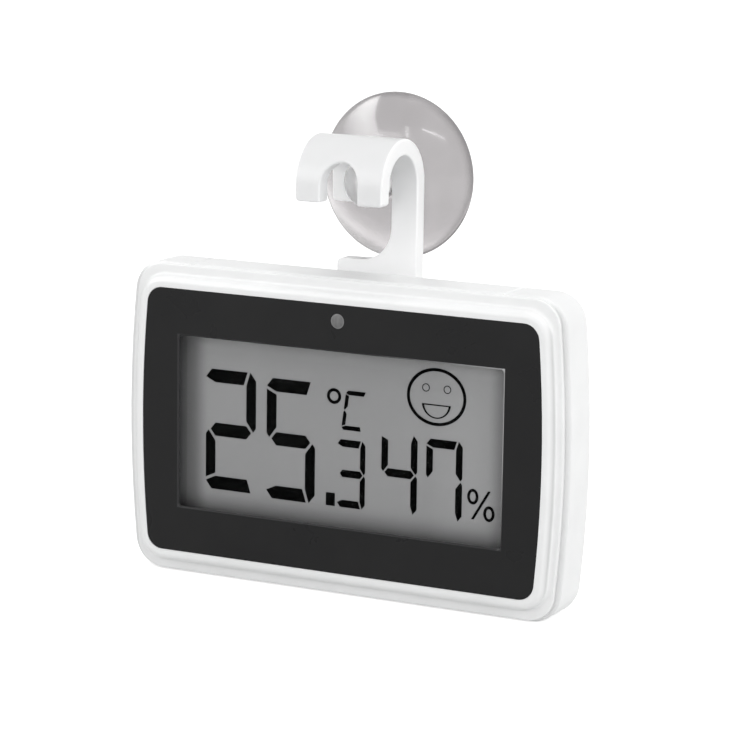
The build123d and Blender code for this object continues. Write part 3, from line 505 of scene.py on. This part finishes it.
# Where its curves bend and end. The dimple's and the head's shares are of the head's radius, the dome's and
# the hollow's are of the rim's radius, and a depth share is of the depth of what it names
DIMPLE_SHARES = (0.43, 0.63)
DIMPLE_DEPTH_SHARE = 0.85
HEAD_SHARES = (0.3, 0.16)
DOME_SHARE = 0.73
DOME_DEPTH_SHARE = 0.14
HOLLOW_SHARE = 0.64
LIP_SHARES = (0.6, 1.2, 1.6)
LIP_DEPTH_SHARE = 0.5
FLAT_SHARE = 0.3

# Steps of its curves
STEPS_DIMPLE = 6
STEPS_HEAD = 8
STEPS_HEAD_BACK = 6
STEPS_FILLET = 5
STEPS_LIP = 4
STEPS_WALL = 20
STEPS_FLAT = 3

# The cup's vinyl: clear in its head, with an opaque white edge as a painted highlight on the head's rim,
# smoky and blurred in its dome, darker along its rim
VINYL_IOR = 1.45
VINYL_HEAD = (0.95, 0.95, 0.955)
VINYL_WALL = (0.36, 0.346, 0.35)
VINYL_WALL_EDGE = (0.25, 0.238, 0.241)
VINYL_EDGE_BLEND = 0.35
VINYL_EDGE_FACING = (0.1, 0.95)
VINYL_STREAK = Pattern(7 * MM, 4, (1.2, 1, 0.5), 0.4)
VINYL_STREAK_PALE = (0.52, 0.505, 0.51)
VINYL_STREAK_SHARE = 0.2
VINYL_RIM = (0.21, 0.2, 0.203)
VINYL_RIM_FROM = cup_radius - 1.3 * MM
VINYL_RIM_TO = cup_radius - 0.2 * MM
VINYL_FLOW = Pattern(5 * MM, 3)
VINYL_FLOW_DEPTH = 0.04 * MM
VINYL_ROUGHNESS = (0.05, 0.1)
VINYL_SMOKE_BLUR = 0.06
HEAD_RIM_HIGHLIGHT = 0.5
HEAD_HIGHLIGHT_FROM = CUP_HEAD - 0.35 * MM
HEAD_HIGHLIGHT_TO = CUP_HEAD - 0.1 * MM
VINYL_CLEARNESS = (0.6, 0.92)


def cup_vinyl():
    f = Finish("cup_vinyl")
    x, y, z = f.split(f.place())
    radius = f.radius(x, f.minus(z, cup_middle_z))
    smoke = f.ramp(y, leg_front_y, leg_back_y)
    facing = f.add("ShaderNodeLayerWeight")
    f.feed(VINYL_EDGE_BLEND, facing.inputs["Blend"])
    wall = f.blend(f.ramp(facing.outputs["Facing"], *VINYL_EDGE_FACING), VINYL_WALL, VINYL_WALL_EDGE)
    wall = f.blend(f.spread(f.noise(VINYL_STREAK), 0, VINYL_STREAK_SHARE), wall, VINYL_STREAK_PALE)
    wall = f.blend(f.ramp(radius, VINYL_RIM_FROM, VINYL_RIM_TO), wall, VINYL_RIM)
    f.set(Base_Color=f.blend(smoke, VINYL_HEAD, wall), IOR=VINYL_IOR)
    flow = f.noise(VINYL_FLOW)
    f.set(Roughness=f.plus(f.spread(flow, *VINYL_ROUGHNESS), f.ramp(smoke, 0, 1, 0, VINYL_SMOKE_BLUR)))
    f.set(Normal=f.bump(flow, VINYL_FLOW_DEPTH))
    head = f.ramp(y, leg_front_y - CUP_NECK_BARE, leg_front_y, 1, 0)
    # Painted highlight: the head's rim turns from clear to opaque white
    rim_highlight = f.times(f.ramp(radius, HEAD_HIGHLIGHT_FROM, HEAD_HIGHLIGHT_TO, 0, HEAD_RIM_HIGHLIGHT), head)
    f.set(Transmission_Weight=f.minus(f.ramp(smoke, 0, 1, *VINYL_CLEARNESS), rim_highlight))
    return f.material


# Node, and what makes its material
OWN_FINISHES = {
    "front_shell": casing_plastic,
    "front_panel": panel_print,
    "lcd_rear_glass": display_field,
    "lcd_marks": display_ink,
    "alarm_lamp": lamp_body,
    "circuit_board": board_mask,
    "hanger": hanger_plastic,
}
# Node, material name and colour
CLEAR_FINISHES = {
    "window_pane": ("window_clear", (0.01, 0.01, 0.01)),
    "lcd_front_glass": ("display_clear", (0.02, 0.02, 0.02)),
}
# Node, material name, colour, roughness and, where it isn't the usual one, the grain's depth
MOULDED_FINISHES = {
    "lcd_reflector": ("reflector_film", (0.32, 0.32, 0.32), 0.5),
    "lcd_connector": ("strip_rubber", (0.02, 0.02, 0.02), 0.7),
    "lcd_holder": ("holder_plastic", (0.42, 0.42, 0.42), 0.5),
    "board_chip": ("chip_resin", (0.012, 0.012, 0.013), 0.25, POTTING_DEPTH),
    "air_sensor": ("sensor_case", (0.04, 0.04, 0.045), 0.4),
    "board_passives": ("passive_body", (0.16, 0.1, 0.06), 0.45),
    "switch_housings": ("switch_black", (0.03, 0.03, 0.03), 0.45),
    "plunger_1": ("plunger_black", (0.035, 0.035, 0.035), 0.4),
    "battery_sleeve": ("cell_sleeve", (0.04, 0.14, 0.28), 0.25),
    "button_1": ("button_grey", (0.56, 0.57, 0.575), 0.42),
}
# Node, material name, colour and roughness
METAL_FINISHES = {
    "lamp_leads": ("tinned_lead", (0.62, 0.62, 0.6), 0.3),
    "clock_crystal": ("crystal_can", (0.7, 0.7, 0.69), 0.22),
    "board_screws": ("screw_zinc", (0.58, 0.58, 0.56), 0.35),
    "battery_cell": ("cell_steel", (0.68, 0.68, 0.68), 0.25),
    "contact_positive": ("contact_nickel", (0.66, 0.65, 0.61), 0.28),
}
# Node, and the node whose material it shares
SAME_FINISH = {
    "back_shell": "front_shell",
    "battery_door": "front_shell",
    "selector_body": "switch_housings",
    "selector_knob": "switch_housings",
    "plunger_2": "plunger_1",
    "plunger_3": "plunger_1",
    "case_screws": "board_screws",
    "contact_negative": "contact_positive",
    "button_2": "button_1",
    "button_3": "button_1",
}


def give_material(name, material):
    nodes[name].data.materials.clear()
    nodes[name].data.materials.append(material)


def finish_nodes():
    for name, make in OWN_FINISHES.items():
        give_material(name, make())
    for make, table in ((clear, CLEAR_FINISHES), (moulded, MOULDED_FINISHES), (metal, METAL_FINISHES)):
        for name, row in table.items():
            give_material(name, make(*row))
    for name, like in SAME_FINISH.items():
        give_material(name, nodes[like].data.materials[0])


def arc_points(start, bend, end, steps):
    """Points on a quadratic curve that leaves start towards bend and reaches end."""
    points = []
    for i in range(1, steps + 1):
        t = i / steps
        weights = ((1 - t) ** 2, 2 * t * (1 - t), t * t)
        ways = zip(start, bend, end)
        points.append(tuple(sum(w * v for w, v in zip(weights, values)) for values in ways))
    return points


def cup_profile():
    """The cup's outline as (radius, y), from its head's middle over dome and rim to its hollow's middle."""
    head_y = cup_low.y
    head_back_y = leg_front_y - CUP_NECK_BARE
    dome_y = leg_back_y + CUP_CLEARANCE
    rim_y = cup_high.y
    hollow_y = dome_y + CUP_CENTRE_THICKNESS
    dimple_bend = (DIMPLE_SHARES[0] * CUP_HEAD, head_y + DIMPLE_DEPTH_SHARE * CUP_DIMPLE)
    head_bend_y = head_back_y - HEAD_SHARES[1] * CUP_HEAD
    dome_bend = (DOME_SHARE * cup_radius, dome_y + DOME_DEPTH_SHARE * (rim_y - dome_y))
    lip_tip, lip_bend, lip_end = (cup_radius - share * CUP_LIP for share in LIP_SHARES)
    # Bend, end and steps of each curve, and None for the neck's straight run
    curves = (
        (dimple_bend, (DIMPLE_SHARES[1] * CUP_HEAD, head_y), STEPS_DIMPLE),
        ((CUP_HEAD, head_y), (CUP_HEAD, head_y + HEAD_SHARES[0] * CUP_HEAD), STEPS_HEAD),
        ((CUP_HEAD, head_bend_y), (CUP_NECK, head_back_y), STEPS_HEAD_BACK),
        None,
        ((CUP_NECK, dome_y), (CUP_SHOULDER, dome_y), STEPS_FILLET),
        (dome_bend, (cup_radius, rim_y - CUP_LIP), STEPS_WALL),
        ((cup_radius, rim_y), (lip_tip, rim_y), STEPS_LIP),
        ((lip_bend, rim_y), (lip_end, rim_y - LIP_DEPTH_SHARE * CUP_LIP), STEPS_LIP),
        ((HOLLOW_SHARE * cup_radius, hollow_y + CUP_DIMPLE), (CUP_FLAT, hollow_y), STEPS_WALL),
        ((FLAT_SHARE * CUP_FLAT, hollow_y), (0.0, hollow_y), STEPS_FLAT),
    )
    points = [(0.0, head_y + CUP_DIMPLE)]
    for curve in curves:
        if curve is None:
            points += [(CUP_NECK, leg_front_y), (CUP_NECK, dome_y - CUP_FILLET)]
        else:
            points += arc_points(points[-1], *curve)
    return points


def turned(name, profile, middle_x, middle_z, turns):
    """A closed body turned about a line along Y. The profile starts and ends on that line."""
    body = bmesh.new()
    rings = []
    for radius, y in profile:
        if radius <= 0:
            rings.append([body.verts.new((middle_x, y, middle_z))])
            continue
        ring = []
        for i in range(turns):
            angle = 2 * pi * i / turns
            ring.append(body.verts.new((middle_x + radius * cos(angle), y, middle_z + radius * sin(angle))))
        rings.append(ring)
    for first, second in zip(rings, rings[1:]):
        for i in range(turns):
            j = (i + 1) % turns
            corners = (first[i % len(first)], first[j % len(first)],
                       second[j % len(second)], second[i % len(second)])
            body.faces.new(list(dict.fromkeys(corners)))
    bmesh.ops.recalc_face_normals(body, faces=body.faces)
    for face in body.faces:
        face.smooth = True
    mesh = bpy.data.meshes.new(name)
    body.to_mesh(mesh)
    body.free()
    return add_object(name, mesh)


def add_object(name, data):
    made = bpy.data.objects.new(name, data)
    bpy.context.scene.collection.objects.link(made)
    return made


def make_cup():
    cup = turned("cup_moulding", cup_profile(), cup_middle_x, cup_middle_z, CUP_TURNS)
    cup.data.materials.append(cup_vinyl())
    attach(cup, "cup")
    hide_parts("suction_cup")


# Camera, fitted to the photograph: turned to the object's right, raised and rolled a little
VIEW_YAW = radians(26.98)
VIEW_PITCH = radians(10.85)
VIEW_ROLL = radians(0.81)
VIEW_DISTANCE = 0.6211
FOCAL_PIXELS = 3095
PICTURE_PIXELS = 734
AIM_PIXEL = (335.74, 440.18)
SENSOR_WIDTH = 36
CLIP_NEAR = 0.01
CLIP_FAR = 50


def axes_matrix(right, up, back, place):
    turn = Matrix((right, up, back)).transposed().to_4x4()
    turn.translation = place
    return turn


def make_camera():
    back = Vector((sin(VIEW_YAW) * cos(VIEW_PITCH), -cos(VIEW_YAW) * cos(VIEW_PITCH), sin(VIEW_PITCH)))
    level_right = Vector((cos(VIEW_YAW), sin(VIEW_YAW), 0))
    level_up = back.cross(level_right)
    right = cos(VIEW_ROLL) * level_right + sin(VIEW_ROLL) * level_up
    up = cos(VIEW_ROLL) * level_up - sin(VIEW_ROLL) * level_right
    picture_middle = PICTURE_PIXELS / 2
    metres_per_pixel = VIEW_DISTANCE / FOCAL_PIXELS
    shift_right = (AIM_PIXEL[0] - picture_middle) * metres_per_pixel
    shift_up = (picture_middle - AIM_PIXEL[1]) * metres_per_pixel
    target = Vector((0, front_low.y, casing_middle_z))
    data = bpy.data.cameras.new("photo_camera")
    data.sensor_width = SENSOR_WIDTH
    data.lens = SENSOR_WIDTH * FOCAL_PIXELS / PICTURE_PIXELS
    data.clip_start = CLIP_NEAR
    data.clip_end = CLIP_FAR
    camera = add_object("photo_camera", data)
    place = target + VIEW_DISTANCE * back - shift_right * right - shift_up * up
    camera.matrix_world = axes_matrix(right, up, back, place)
    bpy.context.scene.camera = camera


# Floor and background. Both are lifted to white where the camera or a reflection sees them. Rays through the
# clear cup see a floor that brightens with distance
FLOOR_HALF = 8.0
FLOOR_WHITE = (0.7, 0.7, 0.7)
FLOOR_ROUGHNESS = 0.9
FLOOR_SPECULAR = 0.1
FLOOR_LIFT = 0.63
CLEAR_LIFT = 1.5
CLEAR_FROM_Y = 0.5
CLEAR_TO_Y = 1.4
SKY_LEVEL = 0.64
WHITE_LEVEL = 1.0


def ray_is(n, path, *kinds):
    """1 for rays of any of the kinds, else 0."""
    result = path.outputs[kinds[0]]
    for kind in kinds[1:]:
        result = n.larger(result, path.outputs[kind])
    return result


def floor_finish():
    f = Finish("floor_white")
    f.set(Base_Color=FLOOR_WHITE, Roughness=FLOOR_ROUGHNESS, Specular_IOR_Level=FLOOR_SPECULAR)
    path = f.add("ShaderNodeLightPath")
    white = f.times(ray_is(f, path, "Is Camera Ray", "Is Glossy Ray"), FLOOR_LIFT)
    _, y, _ = f.split(f.place())
    far = f.ramp(y, CLEAR_FROM_Y, CLEAR_TO_Y, 0, CLEAR_LIFT)
    through = f.times(path.outputs["Is Transmission Ray"], far)
    glow = f.add("ShaderNodeEmission")
    f.join(f.plus(white, through), glow.inputs["Strength"])
    both = f.add("ShaderNodeAddShader")
    f.join(f.shader.outputs["BSDF"], both.inputs[0])
    f.join(glow.outputs["Emission"], both.inputs[1])
    f.join(both.outputs["Shader"], f.tree.nodes["Material Output"].inputs["Surface"])
    return f.material


def make_floor():
    mesh = bpy.data.meshes.new("floor")
    corners = [(-FLOOR_HALF, -FLOOR_HALF, 0), (FLOOR_HALF, -FLOOR_HALF, 0),
               (FLOOR_HALF, FLOOR_HALF, 0), (-FLOOR_HALF, FLOOR_HALF, 0)]
    mesh.from_pydata(corners, [], [(0, 1, 2, 3)])
    mesh.materials.append(floor_finish())
    add_object("floor", mesh)


def make_world():
    world = bpy.data.worlds.new("studio")
    bpy.context.scene.world = world
    world.use_nodes = True
    n = Nodes(world.node_tree)
    background = world.node_tree.nodes["Background"]
    path = n.add("ShaderNodeLightPath")
    seen = ray_is(n, path, "Is Camera Ray", "Is Glossy Ray", "Is Transmission Ray")
    background.inputs["Color"].default_value = (1, 1, 1, 1)
    n.join(n.ramp(seen, 0, 1, SKY_LEVEL, WHITE_LEVEL), background.inputs["Strength"])


# Name, place, width and power of each soft box, and whether reflections show it
SOFT_BOXES = (
    ("right_box", (1.4, -0.5, 0.7), 0.9, 10.0, False),
    ("top_box", (0.1, 0.2, 1.6), 1.0, 5.2, True),
    ("front_box", (-0.7, -1.5, 0.7), 0.8, 5.8, True),
)
BOX_ACROSS = (1, 0.001, 0)
# Name, place, direction of its width, width, height and power of each card that only reflections show
CARDS = (
    ("left_card", (-1.06, -0.395, 0.558), (0.6, -0.19, 0.78), 0.9, 1.62, 34.0),
    ("tilted_strip", (0.52, -0.75, 0.96), (0.574, 0.178, -0.183), 0.62, 0.035, 1.2),
    ("upright_strip", (-0.112, -0.99, 0.895), (0.026, -0.225, -0.278), 0.36, 0.05, 0.7),
)
FADED_CARD = "left_card"
FADE = (0.1, 0.75)


def area_lamp(name, place, aim, across, width, height, power):
    """A lamp with a flat glowing face that points at aim, and whose width runs along across."""
    data = bpy.data.lights.new(name, "AREA")
    data.shape = "RECTANGLE"
    data.size = width
    data.size_y = height
    data.energy = power
    lamp = add_object(name, data)
    behind = (Vector(place) - Vector(aim)).normalized()
    along = Vector(across) - Vector(across).dot(behind) * behind
    along.normalize()
    lamp.matrix_world = axes_matrix(along, behind.cross(along), behind, place)
    lamp.visible_transmission = False
    return lamp


def fade_out(lamp):
    """Lets a card's glow fade towards one end of its width."""
    lamp.data.use_nodes = True
    n = Nodes(lamp.data.node_tree)
    across, _, _ = n.split(n.add("ShaderNodeNewGeometry").outputs["Parametric"])
    n.join(n.ramp(across, *FADE), n.tree.nodes["Emission"].inputs["Strength"])


def make_lights():
    casing_middle = (0, 0, casing_middle_z)
    cup_back = (0, leg_back_y, cup_middle_z)
    for name, place, width, power, reflected in SOFT_BOXES:
        box = area_lamp(name, place, casing_middle, BOX_ACROSS, width, width, power)
        box.visible_glossy = reflected
    for name, place, across, width, height, power in CARDS:
        card = area_lamp(name, place, cup_back, across, width, height, power)
        card.visible_diffuse = False
    fade_out(bpy.data.objects[FADED_CARD])


finish_nodes()
make_cup()
make_camera()
make_world()
make_floor()
make_lights()
bpy.context.scene.view_settings.view_transform = "Standard"
